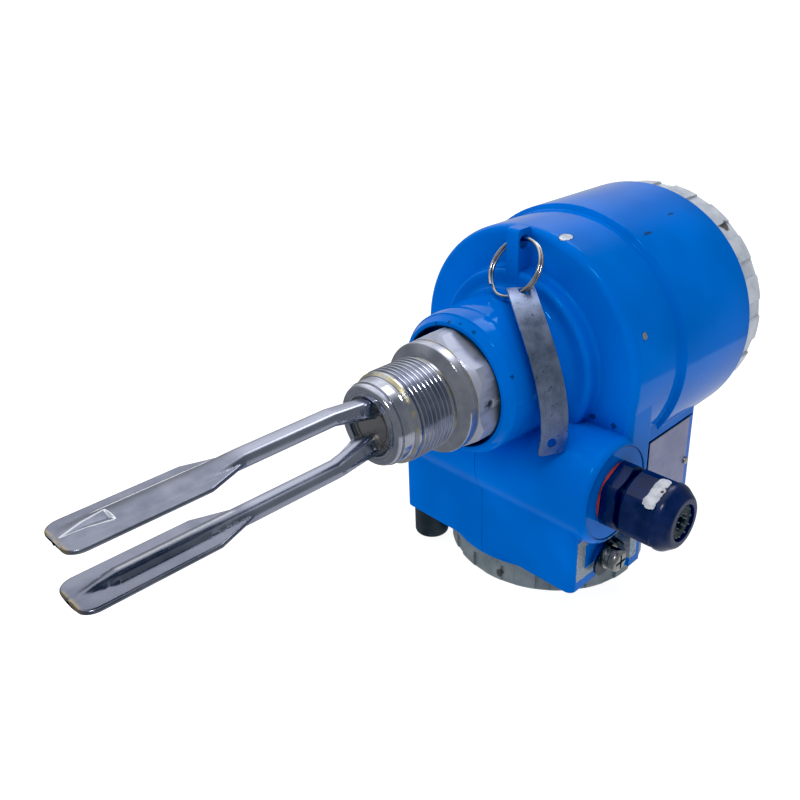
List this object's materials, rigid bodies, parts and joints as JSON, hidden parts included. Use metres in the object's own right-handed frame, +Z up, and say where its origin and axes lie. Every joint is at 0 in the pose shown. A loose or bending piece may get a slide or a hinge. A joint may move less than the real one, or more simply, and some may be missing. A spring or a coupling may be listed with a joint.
{
  "type": "vibrating fork level switch",
  "caption": "Point level switch: stainless vibrating fork on a threaded hexagon nipple, blue cast housing with screwed grey covers, cable gland, ground terminal and hanging tag.",
  "frame": {"origin": "middle of the lower cover's outer face, on which the switch stands", "axes": "+Z up, fork along -X, cable gland towards -Y"},
  "size_m": [0.2793, 0.1298, 0.1469],
  "materials": {
    "blue_paint": "glossy blue paint on cast aluminium",
    "turned_steel": "turned stainless steel",
    "fork_steel": "polished stainless steel",
    "plated_steel": "plated steel, worn",
    "plate_steel": "bare satin plate",
    "ring_steel": "bright spring wire",
    "tag_steel": "dull stamped strip",
    "grey_cover": "light grey satin paint",
    "seal_rubber": "black rubber",
    "red_rubber": "red rubber",
    "insert_rubber": "dark grey rubber",
    "ceramic": "ceramic",
    "module_plastic": "black plastic",
    "black_plastic": "black plastic",
    "gland_plastic": "dark blue-black plastic"
  },
  "bodies": {
    "switch": {"housing": "blue_paint", "process_connection": "turned_steel", "vibrating_fork": "fork_steel", "neck_o_ring": "seal_rubber", "lock_nut": "plated_steel", "drive_ring": "ceramic", "piezo_discs": "ceramic", "drive_nut": "plated_steel", "electronics_insert": "module_plastic", "insert_screws": "plated_steel", "feedthrough": "module_plastic", "terminal_block": "module_plastic", "terminal_screws": "plated_steel", "vent_cap": "black_plastic", "gland_seal_ring": "red_rubber", "gland_body": "gland_plastic", "gland_insert": "insert_rubber", "ground_clamp": "plated_steel", "ground_washer": "plated_steel", "ground_spring_washer": "plated_steel", "nameplate": "plate_steel", "nameplate_rivets": "plated_steel"},
    "rear_lid": {"rear_cover": "grey_cover", "rear_cover_o_ring": "seal_rubber"},
    "lower_lid": {"lower_cover": "grey_cover", "lower_cover_o_ring": "seal_rubber"},
    "nut": {"gland_nut": "gland_plastic"},
    "screw": {"ground_screw": "plated_steel"},
    "ring": {"split_ring": "ring_steel"},
    "strip": {"tag": "tag_steel"}
  },
  "joints": [
    {"name": "rear_lid_turn", "type": "hinge", "parent": "switch", "child": "rear_lid", "pos_m": [0.06, 0, 0.0938], "axis": [1, 0, 0], "continuous": true},
    {"name": "lower_lid_turn", "type": "hinge", "parent": "switch", "child": "lower_lid", "pos_m": [0, 0, 0.006], "axis": [0, 0, 1], "continuous": true},
    {"name": "nut_turn", "type": "hinge", "parent": "switch", "child": "nut", "pos_m": [-0.027, -0.065, 0.0556], "axis": [0, -1, 0], "continuous": true},
    {"name": "screw_turn", "type": "hinge", "parent": "switch", "child": "screw", "pos_m": [-0.025, -0.05, 0.0255], "axis": [0, -1, 0], "continuous": true},
    {"name": "ring_swing", "type": "hinge", "parent": "switch", "child": "ring", "pos_m": [-0.0238, 0, 0.1401], "axis": [0, 1, 0], "range_deg": [0, 100]},
    {"name": "strip_swing", "type": "hinge", "parent": "ring", "child": "strip", "pos_m": [-0.03577, -0.0114, 0.12564], "axis": [-0.2899, 0.7485, -0.5964], "range_deg": [0, 45]}
  ]
}
